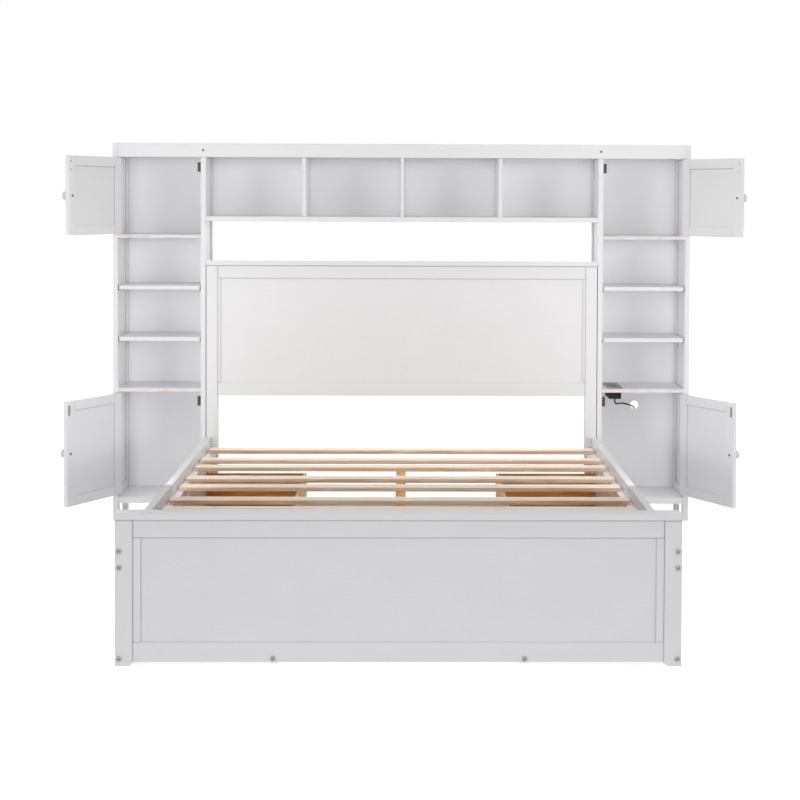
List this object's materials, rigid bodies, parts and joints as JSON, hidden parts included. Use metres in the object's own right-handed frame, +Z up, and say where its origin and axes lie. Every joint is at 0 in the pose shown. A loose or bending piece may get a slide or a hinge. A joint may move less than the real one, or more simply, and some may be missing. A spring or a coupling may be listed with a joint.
{
  "type": "bed with wall of cabinets",
  "caption": "Low framed bed with slats and side drawers, standing between cabinet towers with hinged doors that a bridge of open cubbies joins over the headboard.",
  "frame": {"origin": "on the floor under the middle leg of the centre beam, half-way along the side rails", "axes": "+X to the right seen from the foot end, +Y from the foot to the head, +Z up"},
  "size_m": [2.7215, 2.408, 1.56],
  "materials": {
    "white_paint": "satin white paint",
    "pine": "bare pine",
    "steel": "zinc plated",
    "brown_plastic": "matte",
    "grey_plastic": "matte",
    "black_plastic": "matte",
    "cord_jacket": "matte"
  },
  "bodies": {
    "bed_and_towers": {"left_outer_side": "white_paint", "left_inner_side": "white_paint", "right_inner_side": "white_paint", "right_outer_side": "white_paint", "left_back_panel": "white_paint", "right_back_panel": "white_paint", "bridge_back_panel": "white_paint", "top_fascia": "white_paint", "top_boards": "white_paint", "bridge_floor": "white_paint", "bridge_dividers": "white_paint", "loose_shelves": "white_paint", "footboard_posts": "white_paint", "footboard_frame": "white_paint", "footboard_cap": "white_paint", "headboard_posts": "white_paint", "headboard_frame": "white_paint", "headboard_cap": "white_paint", "side_rails": "white_paint", "slat_cleats": "white_paint", "lower_side_frames": "white_paint", "inner_floor_rails": "white_paint", "slats": "pine", "centre_beam": "pine", "centre_legs": "pine", "drawer_runners": "pine", "fixed_shelves": "white_paint", "shelf_pins": "steel", "bed_bolts": "steel", "hinge_tower_leaves": "steel", "magnetic_catches": "brown_plastic", "power_plate": "grey_plastic", "power_sockets": "black_plastic", "power_box": "black_plastic", "cord_grommet": "black_plastic", "cord_lead": "cord_jacket", "cord_coil": "cord_jacket", "cord_tie": "black_plastic", "mains_plug": "black_plastic"},
    "upper_left_door": {"upper_left_door": "white_paint", "upper_left_knob": "white_paint", "upper_left_hardware": "steel"},
    "lower_left_door": {"lower_left_door": "white_paint", "lower_left_knob": "white_paint", "lower_left_hardware": "steel"},
    "upper_right_door": {"upper_right_door": "white_paint", "upper_right_knob": "white_paint", "upper_right_hardware": "steel"},
    "lower_right_door": {"lower_right_door": "white_paint", "lower_right_knob": "white_paint", "lower_right_hardware": "steel"},
    "foot_left_drawer": {"foot_left_drawer_front": "white_paint", "foot_left_drawer_box": "pine"},
    "head_left_drawer": {"head_left_drawer_front": "white_paint", "head_left_drawer_box": "pine"},
    "foot_right_drawer": {"foot_right_drawer_front": "white_paint", "foot_right_drawer_box": "pine"},
    "head_right_drawer": {"head_right_drawer_front": "white_paint", "head_right_drawer_box": "pine"}
  },
  "joints": [
    {"name": "upper_left_hinge", "type": "hinge", "parent": "bed_and_towers", "child": "upper_left_door", "pos_m": [-1.1705, 1.018, 1.3425], "axis": [0, 0, -1], "range_deg": [-117, 53]},
    {"name": "lower_left_hinge", "type": "hinge", "parent": "bed_and_towers", "child": "lower_left_door", "pos_m": [-1.1705, 1.018, 0.3215], "axis": [0, 0, -1], "range_deg": [-119, 51]},
    {"name": "upper_right_hinge", "type": "hinge", "parent": "bed_and_towers", "child": "upper_right_door", "pos_m": [1.1705, 1.018, 1.3425], "axis": [0, 0, 1], "range_deg": [-123.5, 46.5]},
    {"name": "lower_right_hinge", "type": "hinge", "parent": "bed_and_towers", "child": "lower_right_door", "pos_m": [1.1705, 1.018, 0.3215], "axis": [0, 0, 1], "range_deg": [-118.5, 51.5]},
    {"name": "foot_left_drawer_slide", "type": "slide", "parent": "bed_and_towers", "child": "foot_left_drawer", "axis": [-1, 0, 0], "range_m": [0, 0.35]},
    {"name": "head_left_drawer_slide", "type": "slide", "parent": "bed_and_towers", "child": "head_left_drawer", "axis": [-1, 0, 0], "range_m": [0, 0.35]},
    {"name": "foot_right_drawer_slide", "type": "slide", "parent": "bed_and_towers", "child": "foot_right_drawer", "axis": [1, 0, 0], "range_m": [0, 0.35]},
    {"name": "head_right_drawer_slide", "type": "slide", "parent": "bed_and_towers", "child": "head_right_drawer", "axis": [1, 0, 0], "range_m": [0, 0.35]}
  ]
}
